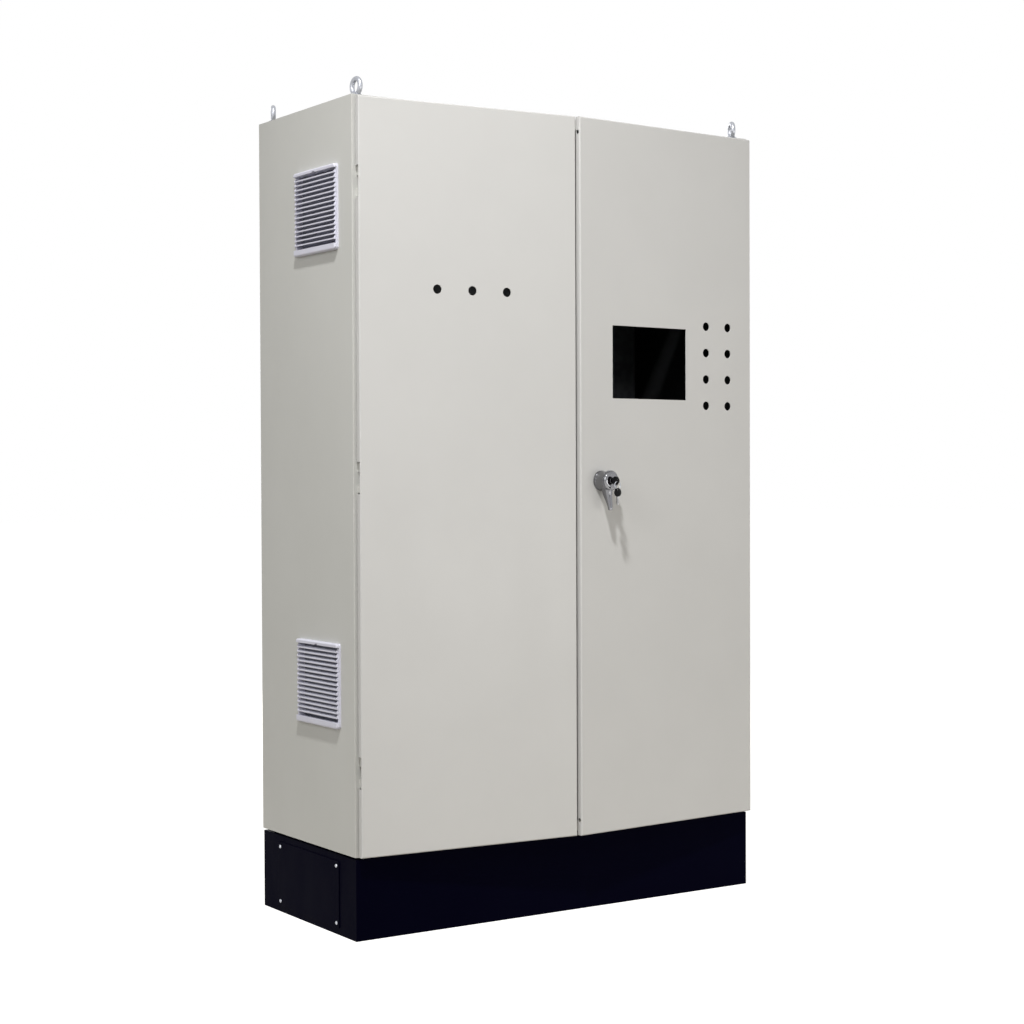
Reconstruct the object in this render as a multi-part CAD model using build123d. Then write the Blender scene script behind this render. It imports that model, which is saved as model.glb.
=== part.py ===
from build123d import *
import os
from math import acos, cos, pi, radians, sin, tan

# Free-standing control cabinet with two doors, on a black plinth.
# Millimetres. Origin on the floor at the centre of the plinth, +Z up, the doors face -Y.
# The doors are drawn closed and then swung about their hinge pins to the ajar pose.

# Carcass
body_width = 1200
body_depth = 494
body_height = 1800
body_sheet = 1.5
front_flange = 28
rear_flange = 26
rear_sheet = 1.5
rear_panel_margin = 3
rear_screw_head_radius = 5.5
rear_screw_inset = 15
rear_screw_side_shares = (0.02, 0.26, 0.5, 0.74, 0.98)
rear_screw_end_shares = (0.25, 0.5, 0.75)
rim_height = 12
rim_corner_radius = 6
post_width = 48
post_depth = 25
post_sheet = 2

# Plinth
plinth_height = 194
plinth_sheet = 2
plinth_flange = 64
plinth_side_inset = 3
plinth_end_inset = 2
spacer_size = 40
spacer_height = 6
spacer_inset = 20
floor_hole_radius = 7
floor_hole_inset = 45
entry_length = 280
entry_height = 130
cover_length = 322
cover_height = 162
cover_sheet = 2
cover_corner_radius = 4
cover_screw_inset = 12
cover_screw_radius = 3
cover_screw_head_radius = 5.5
cover_screw_head_height = 3
cover_screw_reach = 8

# Plinth bolts
plinth_bolt_radius = 6
plinth_bolt_clearance = 0.5
plinth_bolt_head_radius = 10
plinth_bolt_head_height = 7.5
plinth_nut_height = 10

# Gland plates in the floor
gland_count = 3
gland_opening_length = 330
gland_opening_depth = 190
gland_plate_lap = 20
gland_sheet = 2

# Mounting plate
plate_sheet = 3
plate_side_margin = 48
plate_end_margin = 70
plate_fold = 20
plate_rear_space = 55
bracket_sheet = 3
bracket_height = 50
bracket_wall_leg = 42
bracket_lap = 30
bracket_row_shares = (0.08, 0.5, 0.92)
plate_bolt_radius = 5
plate_bolt_clearance = 0.3
plate_nut_radius = 8.5
plate_nut_height = 8
plate_stud_end = 4

# Eye bolts
eye_bar_radius = 6
eye_ring_radius = 18
eye_collar_radius = 15
eye_collar_height = 6
eye_neck_radius = 9
eye_shank_radius = 6
eye_shank_clearance = 0.5
eye_shank_length = 22
eye_nut_radius = 10
eye_nut_height = 10
eye_inset = 28
eye_turns_degrees = (93, 66, 65, 104)

# Side grilles
grille_width = 214
grille_height = 204
grille_depth = 12
grille_edge_radius = 4
grille_corner_radius = 7
grille_side_border = 7
grille_top_border = 9
grille_bottom_border = 15
grille_slot_count = 16
slat_thickness = 3.4
slat_drop = 2
slat_depth = 9
grille_rim_depth = 5
slat_tooth_thickness = 3
snap_notch_width = 12
snap_notch_height = 3
grille_setback = 67
grille_drop_upper = 154
grille_rise_lower = 298
cutout_width = 203
cutout_height = 191
housing_width = 202
housing_height = 190
housing_wall = 2
housing_reach = 28
housing_bar_count = 5
housing_bar_width = 3
housing_bar_depth = 4
mat_thickness = 16
mat_clearance = 0.3

# Doors
door_sheet = 2
door_proud = 22
door_return = 16
door_side_inset = 6
door_top_inset = 6
door_bottom_inset = 1
door_meeting_gap = 4
door_edge_radius = 3
left_ajar_degrees = 4.2
right_ajar_degrees = 4.8
gasket_width = 10
gasket_clearance = 0.3
gasket_corner_radius = 8
drain_hole_radius = 5
drain_hole_end_inset = 38
drain_hole_front_inset = 9

# Door cut-outs
button_radius = 11.25
left_button_first = 206
left_button_pitch = 95
left_button_count = 3
left_button_height = 1349
right_button_last = 84
right_button_pitch = 78
right_button_columns = 2
right_button_rows = 4
right_button_row_pitch = 69
right_button_top_height = 1290
window_width = 252
window_height = 184
window_edge = 106
window_sill_height = 1096

# Door rails
rail_width = 12
rail_depth = 18
rail_sheet = 1.5
rail_edge_clearance = 1
rail_end_clearance = 26
rail_slot_pitch = 100
rail_slot_length = 24
rail_slot_width = 8

# Hinges
hinge_count = 3
hinge_end_distance = 200
hinge_height = 70
hinge_axis_inset = 6
hinge_axis_setback = 6.5
knuckle_radius = 3.7
hinge_pin_radius = 2
hinge_pin_clearance = 0.05
hinge_pin_head_height = 2
hinge_pin_head_radius = 3.4
knuckle_gap = 0.5
door_knuckle_share = 0.42
body_leaf_sheet = 3
body_leaf_foot = 9
door_leaf_sheet = 2
door_leaf_reach = 8
notch_clearance = 3

# Lock on the right door
lock_inset = 66.5
lock_height = 888.5
rosette_radius = 25.5
rosette_height = 8
rosette_face_radius = 24
hub_base_radius = 24.5
hub_waist_radius = 23
hub_head_radius = 24
hub_face_radius = 16
hub_length = 36
hub_clearance = 0.3
hub_shoulder_share = 0.72
collar_radius = 26
collar_distance = 25
collar_width = 3.2
lever_root_drop = 12
lever_root_width = 30
lever_root_back = 11
lever_root_front = 40
lever_neck_drop = 36
lever_neck_width = 19
lever_neck_back = 13.5
lever_neck_front = 37
lever_waist_drop = 56
lever_waist_width = 14.5
lever_waist_back = 24.5
lever_waist_front = 39.3
lever_tip_drop = 74
lever_tip_width = 11
lever_tip_back = 31
lever_tip_front = 40.5
lever_corner_share = 0.42
lever_tip_radius = 3
spindle_radius = 5
spindle_clearance = 0.05
spindle_hole_clearance = 1
cylinder_radius = 8
cylinder_length = 22
cylinder_stand = 0.7
cylinder_clearance = 0.3

# Keys
key_head_radius = 11
key_head_thickness = 6
key_head_distance = 12
key_blade_width = 8
key_blade_thickness = 2
key_blade_length = 20.5
key_slot_clearance = 0.15
key_hole_radius = 3.2
key_hole_offset = 7
key_ring_radius = 9.5
key_ring_bar_radius = 0.9
key_ring_seat = 1.5

# Rod drive
tooth_module = 2
pinion_teeth = 12
pressure_degrees = 20
pinion_addendum = 1.6
rack_addendum = 1.3
tooth_clearance = 0.5
tooth_backlash = 0.5
flank_points = 5
handle_turn_degrees = 90
rod_width = 8
rod_thickness = 5
rod_tip_width = 4
rod_tip_length = 10
rod_flange_clearance = 1
rod_end_clearance = 6
bridge_sheet = 2
bridge_height = 30
bridge_side_clearance = 1.5
bridge_pinion_clearance = 0.5
guide_wall = 4
guide_length = 18
guide_clearance = 0.3
guide_near_distance = 250
guide_end_distance = 80

# Bolts of the left door
bolt_inset = 72
bolt_length = 190
bolt_travel = 18
bolt_knob_radius = 5
bolt_knob_length = 14
bolt_guide_offset = 28
bolt_knob_share = 0.5

# Cuts run past the faces by this much
overrun = 4

# Levels and planes that the pieces share
floor_z = plinth_height + spacer_height
roof_z = floor_z + body_height
front_y = -body_depth / 2
rear_y = body_depth / 2
half_width = body_width / 2
wall_x = half_width - body_sheet
opening_side = half_width - front_flange
opening_floor = floor_z + front_flange
opening_roof = roof_z - front_flange
post_half = post_width / 2
door_front_y = front_y - door_proud
door_inner_y = door_front_y + door_sheet
door_back_y = door_front_y + door_return
door_outer_x = half_width - door_side_inset
door_free_x = door_meeting_gap / 2
door_floor = floor_z + door_bottom_inset
door_roof = roof_z - door_top_inset
hinge_x = door_outer_x - hinge_axis_inset
hinge_y = door_front_y + hinge_axis_setback
rim_front_y = front_y - rim_height


def block(x_span, y_span, z_span):
    """Box between two values on each axis."""
    size = [abs(span[1] - span[0]) for span in (x_span, y_span, z_span)]
    middle = [(span[0] + span[1]) / 2 for span in (x_span, y_span, z_span)]
    return Pos(*middle) * Box(*size)


def folded(inside_line, thickness):
    """Section of a folded sheet: its inside line, thickened to the left with round bends."""
    return make_face(offset(Polyline(*inside_line), thickness, side=Side.LEFT))


def upright(section, z_span):
    """Section in plan, drawn up between two heights."""
    return Pos(0, 0, z_span[0]) * extrude(section, z_span[1] - z_span[0])


def along_x(section, x_span):
    """Section in the YZ plane, drawn along X."""
    return Plane.YZ.offset(x_span[0]) * extrude(section, x_span[1] - x_span[0])


def rod_y(radius, x, z, y_span):
    """Round bar along Y."""
    middle = (y_span[0] + y_span[1]) / 2
    return Pos(x, middle, z) * Rot(90, 0, 0) * Cylinder(radius, abs(y_span[1] - y_span[0]))


def rod_z(radius, x, y, z_span):
    """Round bar along Z."""
    return Pos(x, y, (z_span[0] + z_span[1]) / 2) * Cylinder(radius, z_span[1] - z_span[0])


def hexagon_z(radius, x, y, z_span):
    """Hexagon head or nut along Z, by its half width across the corners."""
    head = extrude(RegularPolygon(radius, 6), z_span[1] - z_span[0])
    return Pos(x, y, z_span[0]) * head


def hexagon_y(radius, x, z, y_span):
    """Hexagon head or nut along Y."""
    head = extrude(RegularPolygon(radius, 6), y_span[1] - y_span[0])
    return Pos(x, y_span[0], z) * Rot(-90, 0, 0) * head


def frame_ring(x_span, z_span, y_span, wall, corner_radius):
    """Rectangular ring in the front plane, with its inner outline given and its wall outside."""
    width = x_span[1] - x_span[0]
    height = z_span[1] - z_span[0]
    outer = RectangleRounded(width + 2 * wall, height + 2 * wall, corner_radius + wall)
    inner = RectangleRounded(width, height, corner_radius)
    ring = extrude(outer - inner, y_span[1] - y_span[0])
    middle = Pos((x_span[0] + x_span[1]) / 2, y_span[1], (z_span[0] + z_span[1]) / 2)
    return middle * Rot(90, 0, 0) * ring


def mirrored(piece):
    """The same piece on the other side of the cabinet."""
    return mirror(piece, Plane.YZ)


def swing_left(piece):
    """Left door's pieces, turned about the left hinge pins to the ajar pose."""
    return piece.rotate(Axis((-hinge_x, hinge_y, 0), (0, 0, 1)), -left_ajar_degrees)


def swing_right(piece):
    """Right door's pieces, turned about the right hinge pins to the ajar pose."""
    return piece.rotate(Axis((hinge_x, hinge_y, 0), (0, 0, 1)), right_ajar_degrees)


def save(node, *pieces):
    """Write a node, as one solid or as a group of separate solids."""
    solids = [solid for piece in pieces for solid in piece.solids()]
    shape = solids[0] if len(solids) == 1 else Compound(children=solids)
    export_step(shape, f"parts/{node}.step")


os.makedirs("parts", exist_ok=True)

# Plinth: a welded frame of channel section with a cable entry in each side
plinth_x = half_width - plinth_side_inset
plinth_y = body_depth / 2 - plinth_end_inset
plinth_outside = block((-plinth_x, plinth_x), (-plinth_y, plinth_y), (0, plinth_height))
plinth_channel = block(
    (plinth_sheet - plinth_x, plinth_x - plinth_sheet),
    (plinth_sheet - plinth_y, plinth_y - plinth_sheet),
    (plinth_sheet, plinth_height - plinth_sheet),
)
plinth_well = block(
    (plinth_flange - plinth_x, plinth_x - plinth_flange),
    (plinth_flange - plinth_y, plinth_y - plinth_flange),
    (-overrun, plinth_height + overrun),
)
cover_z = plinth_height / 2
entry = block(
    (-plinth_x - overrun, plinth_x + overrun),
    (-entry_length / 2, entry_length / 2),
    (cover_z - entry_height / 2, cover_z + entry_height / 2),
)
floor_hole_x = plinth_x - floor_hole_inset
floor_hole_y = plinth_y - floor_hole_inset
corners = ((-1, -1), (-1, 1), (1, -1), (1, 1))
spacer_x = plinth_x - spacer_inset - spacer_size / 2
spacer_y = plinth_y - spacer_inset - spacer_size / 2
bolt_bore = plinth_bolt_radius + plinth_bolt_clearance
screw_y = cover_length / 2 - cover_screw_inset
screw_z = cover_height / 2 - cover_screw_inset
plinth = plinth_outside - plinth_channel - plinth_well - entry
for side, end in corners:
    plinth -= rod_z(floor_hole_radius, side * floor_hole_x, end * floor_hole_y, (-overrun, plinth_sheet + overrun))
    plinth -= rod_z(bolt_bore, side * spacer_x, end * spacer_y, (cover_z, plinth_height + overrun))
for end, level in corners:
    across = Cylinder(cover_screw_radius, 2 * (plinth_x + overrun))
    plinth -= Pos(0, end * screw_y, cover_z + level * screw_z) * Rot(0, 90, 0) * across
save("plinth_frame", plinth)

# Plinth side covers, each held by four screws
cover_outline = RectangleRounded(cover_length, cover_height, cover_corner_radius)
for end, level in corners:
    cover_outline -= Pos(end * screw_y, level * screw_z) * Circle(cover_screw_radius)
cover_right = Plane.YZ.offset(plinth_x) * Pos(0, cover_z) * extrude(cover_outline, cover_sheet)
save("plinth_cover_right", cover_right)
save("plinth_cover_left", mirrored(cover_right))

# Cover screws: a domed head on a plain shank
screw_dome = (cover_screw_head_radius**2 + cover_screw_head_height**2) / (2 * cover_screw_head_height)
screw_section = make_face(
    Polyline(
        (0, cover_screw_head_height),
        (0, -cover_screw_reach),
        (cover_screw_radius, -cover_screw_reach),
        (cover_screw_radius, 0),
        (cover_screw_head_radius, 0),
    )
    + RadiusArc((cover_screw_head_radius, 0), (0, cover_screw_head_height), -screw_dome)
)
cover_screw = revolve(Plane.XZ * screw_section, Axis.Z)
right_screws = [
    Pos(plinth_x + cover_sheet, end * screw_y, cover_z + level * screw_z) * Rot(0, 90, 0) * cover_screw
    for end, level in corners
]
save("plinth_cover_screws", *right_screws, *[mirrored(screw) for screw in right_screws])

# Spacers between plinth and floor panel, and the bolts through them
spacer = Box(spacer_size, spacer_size, spacer_height) - Cylinder(bolt_bore, spacer_height + overrun)
spacer_z = plinth_height + spacer_height / 2
save("plinth_spacers", *[Pos(side * spacer_x, end * spacer_y, spacer_z) * spacer for side, end in corners])
plinth_bolts = []
for side, end in corners:
    spot = (side * spacer_x, end * spacer_y)
    head_z = floor_z + body_sheet
    nut_z = plinth_height - plinth_sheet
    bolt = rod_z(plinth_bolt_radius, *spot, (nut_z - plinth_nut_height, head_z))
    bolt += hexagon_z(plinth_bolt_head_radius, *spot, (head_z, head_z + plinth_bolt_head_height))
    bolt += hexagon_z(plinth_bolt_head_radius, *spot, (nut_z - plinth_nut_height, nut_z))
    plinth_bolts.append(bolt)
save("plinth_bolts", *plinth_bolts)

# Side panels: wall, front flange and rear flange folded from one sheet
flange_rear_y = rear_y - rear_sheet - body_sheet
side_line = (
    (front_flange - half_width, front_y + body_sheet),
    (-wall_x, front_y + body_sheet),
    (-wall_x, flange_rear_y),
    (rear_flange - half_width, flange_rear_y),
)
side_left = upright(folded(side_line, body_sheet), (floor_z + body_sheet, roof_z - body_sheet))
save("side_panel_right", mirrored(side_left))
grille_y = front_y + grille_setback + grille_width / 2
grille_levels = {
    "upper": roof_z - grille_drop_upper - grille_height / 2,
    "lower": floor_z + grille_rise_lower + grille_height / 2,
}
for grille_z in grille_levels.values():
    side_left -= Pos(-wall_x, grille_y, grille_z) * Box(overrun * 2, cutout_width, cutout_height)
save("side_panel_left", side_left)


def end_panel(outside_z, inward):
    """Roof or floor panel: a full sheet with a front and a rear flange between the side flanges."""
    inside_z = outside_z + inward * body_sheet
    tip_z = outside_z + inward * front_flange
    rear_tip_z = outside_z + inward * rear_flange
    sheet = block((-half_width, half_width), (front_y, rear_y - rear_sheet), (outside_z, inside_z))
    sheet = fillet(sheet.edges().filter_by(Axis.Z), body_sheet)
    front = block((-opening_side, opening_side), (front_y, front_y + body_sheet), (inside_z, tip_z))
    rear_x = half_width - rear_flange
    rear = block((-rear_x, rear_x), (flange_rear_y, flange_rear_y + body_sheet), (inside_z, rear_tip_z))
    return sheet + front + rear


# Roof with the four holes for the eye bolts
eye_x = half_width - eye_inset
eye_y = body_depth / 2 - eye_inset
roof = end_panel(roof_z, -1)
for side, end in corners:
    hole_radius = eye_shank_radius + eye_shank_clearance
    roof -= rod_z(hole_radius, side * eye_x, end * eye_y, (roof_z - body_sheet - overrun, roof_z + overrun))
save("roof_panel", roof)

# Floor with bolt holes and a row of cable openings, each closed by a gland plate
gland_pitch = (2 * wall_x) / gland_count
gland_places = [(index - (gland_count - 1) / 2) * gland_pitch for index in range(gland_count)]
floor = end_panel(floor_z, 1)
floor_cut = (floor_z - overrun, floor_z + body_sheet + overrun)
for side, end in corners:
    floor -= rod_z(bolt_bore, side * spacer_x, end * spacer_y, floor_cut)
for place in gland_places:
    floor -= Pos(place, 0, floor_z) * Box(gland_opening_length, gland_opening_depth, 2 * overrun)
save("floor_panel", floor)
gland_z = floor_z + body_sheet + gland_sheet / 2
gland_length = gland_opening_length + 2 * gland_plate_lap
gland_depth = gland_opening_depth + 2 * gland_plate_lap
gland_plate = Box(gland_length, gland_depth, gland_sheet)
save("gland_plates", *[Pos(place, 0, gland_z) * gland_plate for place in gland_places])

# Rear panel, laid on the rear flanges, with countersunk screw holes round its edge
rear_panel_x = half_width - rear_panel_margin
rear_panel_z = (floor_z + rear_panel_margin, roof_z - rear_panel_margin)
rear_panel = block((-rear_panel_x, rear_panel_x), (rear_y - rear_sheet, rear_y), rear_panel_z)
rear_screw_x = half_width - rear_screw_inset
rear_screw_z = (floor_z + rear_screw_inset, roof_z - rear_screw_inset)
rear_screw_rise = rear_screw_z[1] - rear_screw_z[0]
rear_screw_places = [
    (side * rear_screw_x, rear_screw_z[0] + share * rear_screw_rise)
    for side in (-1, 1)
    for share in rear_screw_side_shares
]
rear_screw_places += [
    ((2 * share - 1) * rear_screw_x, level)
    for level in rear_screw_z
    for share in rear_screw_end_shares
]
countersink = Rot(-90, 0, 0) * Cone(rear_screw_head_radius - rear_sheet, rear_screw_head_radius, rear_sheet)
for place_x, place_z in rear_screw_places:
    rear_panel -= Pos(place_x, rear_y - rear_sheet / 2, place_z) * countersink
save("rear_panel", rear_panel)

# Centre post that both doors close on
post_inner = post_half - post_sheet
post_line = (
    (post_inner, front_y + post_depth),
    (post_inner, front_y + post_sheet),
    (-post_inner, front_y + post_sheet),
    (-post_inner, front_y + post_depth),
)
save("centre_post", upright(folded(post_line, post_sheet), (opening_floor, opening_roof)))

# Rims round the two openings, which press into the door gaskets
rim_x = (post_half, opening_side)
rim_z = (opening_floor, opening_roof)
rim_right = frame_ring(rim_x, rim_z, (rim_front_y, front_y), body_sheet, rim_corner_radius)
save("rim_right", rim_right)
save("rim_left", mirrored(rim_right))

# Mounting plate, folded at top and bottom, held by studs welded to its back and brackets on the side walls
plate_y = rear_y - plate_rear_space
plate_x = half_width - plate_side_margin
plate_z = (floor_z + plate_end_margin, roof_z - plate_end_margin)
plate_line = (
    (plate_y + plate_fold, plate_z[0] + plate_sheet),
    (plate_y, plate_z[0] + plate_sheet),
    (plate_y, plate_z[1] - plate_sheet),
    (plate_y + plate_fold, plate_z[1] - plate_sheet),
)
bracket_y = plate_y
bracket_tab_x = plate_x - bracket_lap
plate_bolt_x = plate_x - bracket_lap / 2
bracket_levels = [plate_z[0] + share * (plate_z[1] - plate_z[0]) for share in bracket_row_shares]
plate_bore = plate_bolt_radius + plate_bolt_clearance
plate = along_x(folded(plate_line, plate_sheet), (-plate_x, plate_x))
bracket_line = (
    (bracket_tab_x, bracket_y + bracket_sheet),
    (wall_x - bracket_sheet, bracket_y + bracket_sheet),
    (wall_x - bracket_sheet, bracket_y + bracket_wall_leg),
)
bracket_section = make_face(offset(Polyline(*bracket_line), bracket_sheet, side=Side.RIGHT))
brackets = []
plate_bolts = []
for level in bracket_levels:
    nut_y = bracket_y + bracket_sheet
    nut_back_y = nut_y + plate_nut_height
    bore = rod_y(plate_bore, plate_bolt_x, level, (bracket_y - overrun, nut_y + overrun))
    bracket = upright(bracket_section, (level - bracket_height / 2, level + bracket_height / 2)) - bore
    stud = rod_y(plate_bolt_radius, plate_bolt_x, level, (plate_y, nut_back_y + plate_stud_end))
    stud += hexagon_y(plate_nut_radius, plate_bolt_x, level, (nut_y, nut_back_y))
    brackets += [bracket, mirrored(bracket)]
    plate_bolts += [stud, mirrored(stud)]
save("mounting_plate", plate)
save("mounting_brackets", *brackets)
save("mounting_bolts", *plate_bolts)

# Eye bolts: ring, collar and shank, each left at its own turn, with a nut under the roof
eye_ring_z = eye_collar_height + eye_ring_radius
eye_collar = make_face(
    Polyline(
        (0, -eye_shank_length),
        (eye_shank_radius, -eye_shank_length),
        (eye_shank_radius, 0),
        (eye_collar_radius, 0),
        (eye_collar_radius, eye_collar_height / 2),
        (eye_neck_radius, eye_collar_height + eye_bar_radius / 2),
        (0, eye_collar_height + eye_bar_radius / 2),
        (0, -eye_shank_length),
    )
)
eye_bolt = revolve(Plane.XZ * eye_collar, Axis.Z)
eye_bolt += Pos(0, 0, eye_ring_z) * Rot(90, 0, 0) * Torus(eye_ring_radius, eye_bar_radius)
eye_corners = {"front_left": (-1, -1), "rear_left": (-1, 1), "front_right": (1, -1), "rear_right": (1, 1)}
eye_nuts = []
for (name, (side, end)), turn in zip(eye_corners.items(), eye_turns_degrees):
    spot = (side * eye_x, end * eye_y)
    save(f"eye_bolt_{name}", Pos(*spot, roof_z) * Rot(0, 0, turn) * eye_bolt)
    nut = hexagon_z(eye_nut_radius, *spot, (roof_z - body_sheet - eye_nut_height, roof_z - body_sheet))
    eye_nuts.append(nut - rod_z(eye_shank_radius, *spot, (roof_z - eye_shank_length, roof_z)))
save("eye_bolt_nuts", *eye_nuts)

# Side grilles: a louvred cover outside, a housing through the wall and a filter mat in it.
# The cover is drawn with its width along X and its outer face up, then laid on the wall.
grille_outline = extrude(RectangleRounded(grille_width, grille_height, grille_corner_radius), grille_depth)
cover = fillet(grille_outline.faces().sort_by(Axis.Z)[-1].edges(), grille_edge_radius)
louvre_width = grille_width - 2 * grille_side_border
louvre_height = grille_height - grille_top_border - grille_bottom_border
louvre_floor = grille_bottom_border - grille_height / 2
louvre_middle = louvre_floor + louvre_height / 2
cover -= Pos(0, louvre_middle, grille_depth / 2) * Box(louvre_width, louvre_height, grille_depth + overrun)
snap_notch = Box(snap_notch_width, 2 * snap_notch_height, grille_depth + overrun)
cover -= Pos(0, louvre_floor + louvre_height, grille_depth / 2) * snap_notch
relief = block(
    (louvre_width / 2, grille_width / 2 + overrun),
    (louvre_floor, louvre_floor + louvre_height),
    (grille_rim_depth, grille_depth + overrun),
)
cover = cover - relief - mirrored(relief)
slat_pitch = louvre_height / grille_slot_count
slat_top = grille_depth - grille_edge_radius / 2
slat_outline = make_face(
    Polyline(
        (0, slat_top),
        (slat_thickness, slat_top),
        (slat_thickness + slat_drop, slat_top - slat_depth),
        (slat_drop, slat_top - slat_depth),
        (0, slat_top),
    )
)
tooth_outline = make_face(
    Polyline(
        (0, grille_rim_depth),
        (0, slat_top),
        (slat_thickness, slat_top),
        (slat_pitch, grille_rim_depth),
        (0, grille_rim_depth),
    )
)
slat_half = louvre_width / 2 + slat_tooth_thickness
slat = Plane.YZ.offset(-slat_half) * extrude(slat_outline, 2 * slat_half)
tooth = Plane.YZ.offset(louvre_width / 2) * extrude(tooth_outline, slat_tooth_thickness)
for index in range(1, grille_slot_count):
    level = Pos(0, louvre_floor + index * slat_pitch - slat_thickness / 2, 0)
    cover = cover + level * slat + level * tooth + level * mirrored(tooth)
housing = Box(housing_width, housing_height, housing_reach)
inner_width = housing_width - 2 * housing_wall
inner_height = housing_height - 2 * housing_wall
housing -= Box(inner_width, inner_height, housing_reach + overrun)
housing_bar_z = housing_bar_depth / 2 - housing_reach / 2
for index in range(1, housing_bar_count + 1):
    share = index / (housing_bar_count + 1) - 1 / 2
    housing += Pos(share * inner_width, 0, housing_bar_z) * Box(housing_bar_width, inner_height, housing_bar_depth)
    housing += Pos(0, share * inner_height, housing_bar_z) * Box(inner_width, housing_bar_width, housing_bar_depth)
mat = Box(inner_width - 2 * mat_clearance, inner_height - 2 * mat_clearance, mat_thickness)
for name, grille_z in grille_levels.items():
    outside = Plane((-half_width, grille_y, grille_z), x_dir=(0, -1, 0), z_dir=(-1, 0, 0))
    save(f"grille_cover_{name}", outside * cover)
    save(f"grille_housing_{name}", outside * Pos(0, 0, -housing_reach / 2) * housing)
    mat_z = housing_bar_depth + mat_thickness / 2 - housing_reach
    save(f"filter_mat_{name}", outside * Pos(0, 0, mat_z) * mat)

# Hinges: two knuckles on the body, one on the door and a headed pin, at three heights
hinge_span = (door_floor + hinge_end_distance, door_roof - hinge_end_distance)
hinge_step = (hinge_span[1] - hinge_span[0]) / (hinge_count - 1)
hinge_levels = [hinge_span[0] + index * hinge_step for index in range(hinge_count)]
door_knuckle = hinge_height * door_knuckle_share
body_knuckle = (hinge_height - door_knuckle) / 2 - knuckle_gap
pin_bore = hinge_pin_radius + hinge_pin_clearance
body_leaves = []
door_leaves = []
pins = []
for level in hinge_levels:
    bottom = level - hinge_height / 2
    top = level + hinge_height / 2
    bore = rod_z(pin_bore, hinge_x, hinge_y, (bottom - overrun, top + overrun))
    for knuckle_z in ((bottom, bottom + body_knuckle), (top - body_knuckle, top)):
        leaf_x = hinge_x - knuckle_radius
        leaf = rod_z(knuckle_radius, hinge_x, hinge_y, knuckle_z)
        leaf += block((leaf_x, leaf_x + body_leaf_sheet), (hinge_y, front_y), knuckle_z)
        foot_y = (front_y - body_leaf_sheet, front_y)
        leaf += block((leaf_x - body_leaf_foot, leaf_x + body_leaf_sheet), foot_y, knuckle_z)
        body_leaves.append(leaf - bore)
    knuckle_z = (level - door_knuckle / 2, level + door_knuckle / 2)
    leaf = rod_z(knuckle_radius, hinge_x, hinge_y, knuckle_z)
    leaf_span = (hinge_x - door_leaf_reach, hinge_x + knuckle_radius)
    leaf += block(leaf_span, (door_inner_y, door_inner_y + door_leaf_sheet), knuckle_z)
    door_leaves.append(leaf - bore)
    pin = rod_z(hinge_pin_radius, hinge_x, hinge_y, (bottom, top))
    pins.append(pin + rod_z(hinge_pin_head_radius, hinge_x, hinge_y, (top, top + hinge_pin_head_height)))
save("hinge_body_leaves_right", *body_leaves)
save("hinge_body_leaves_left", *[mirrored(leaf) for leaf in body_leaves])
save("hinge_pins_right", *pins)
save("hinge_pins_left", *[mirrored(pin) for pin in pins])
save("hinge_door_leaves_right", *[swing_right(leaf) for leaf in door_leaves])
save("hinge_door_leaves_left", *[swing_left(mirrored(leaf)) for leaf in door_leaves])

# Door blank: a tray folded from one sheet, notched in its outer return at each hinge
door_outside = block((door_free_x, door_outer_x), (door_front_y, door_back_y), (door_floor, door_roof))
front_edges = door_outside.faces().sort_by(Axis.Y)[0].edges()
door_outside = fillet(front_edges, door_edge_radius)
door_blank = door_outside - block(
    (door_free_x + door_sheet, door_outer_x - door_sheet),
    (door_inner_y, door_back_y + overrun),
    (door_floor + door_sheet, door_roof - door_sheet),
)
notch_half = hinge_height / 2 + notch_clearance
for level in hinge_levels:
    door_blank -= block(
        (door_outer_x - door_sheet, door_outer_x + overrun),
        (door_inner_y, door_back_y + overrun),
        (level - notch_half, level + notch_half),
    )
door_cut = (door_front_y - overrun, door_inner_y + overrun)

# Left door with its row of push-button holes
left_door = mirrored(door_blank)
for index in range(left_button_count):
    hole_x = left_button_first + index * left_button_pitch - door_outer_x
    left_door -= rod_y(button_radius, hole_x, floor_z + left_button_height, door_cut)
save("left_door", swing_left(left_door))

# Right door with its window, button holes, lock hole and drain holes in the meeting edge
lock_x = door_free_x + lock_inset
lock_z = floor_z + lock_height
right_door = door_blank
for column in range(right_button_columns):
    for row in range(right_button_rows):
        hole_x = door_outer_x - right_button_last - column * right_button_pitch
        hole_z = floor_z + right_button_top_height - row * right_button_row_pitch
        right_door -= rod_y(button_radius, hole_x, hole_z, door_cut)
window_x = (door_free_x + window_edge, door_free_x + window_edge + window_width)
window_z = (floor_z + window_sill_height, floor_z + window_sill_height + window_height)
right_door -= block(window_x, door_cut, window_z)
spindle_hole = spindle_radius + spindle_hole_clearance
right_door -= rod_y(spindle_hole, lock_x, lock_z, door_cut)
drain = Rot(0, 90, 0) * Cylinder(drain_hole_radius, 2 * door_sheet + overrun)
for drain_z in (door_floor + drain_hole_end_inset, door_roof - drain_hole_end_inset):
    right_door -= Pos(door_free_x, door_front_y + drain_hole_front_inset, drain_z) * drain
save("right_door", swing_right(right_door))

# Gaskets on the door's inner face, facing the rims
gasket_half = gasket_width / 2
gasket_in = gasket_half - body_sheet / 2
gasket_x = (rim_x[0] + gasket_in, rim_x[1] - gasket_in)
gasket_z = (rim_z[0] + gasket_in, rim_z[1] - gasket_in)
gasket_y = (door_inner_y, rim_front_y - gasket_clearance)
gasket = frame_ring(gasket_x, gasket_z, gasket_y, gasket_width, gasket_corner_radius)
save("gasket_right", swing_right(gasket))
save("gasket_left", swing_left(mirrored(gasket)))

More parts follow.
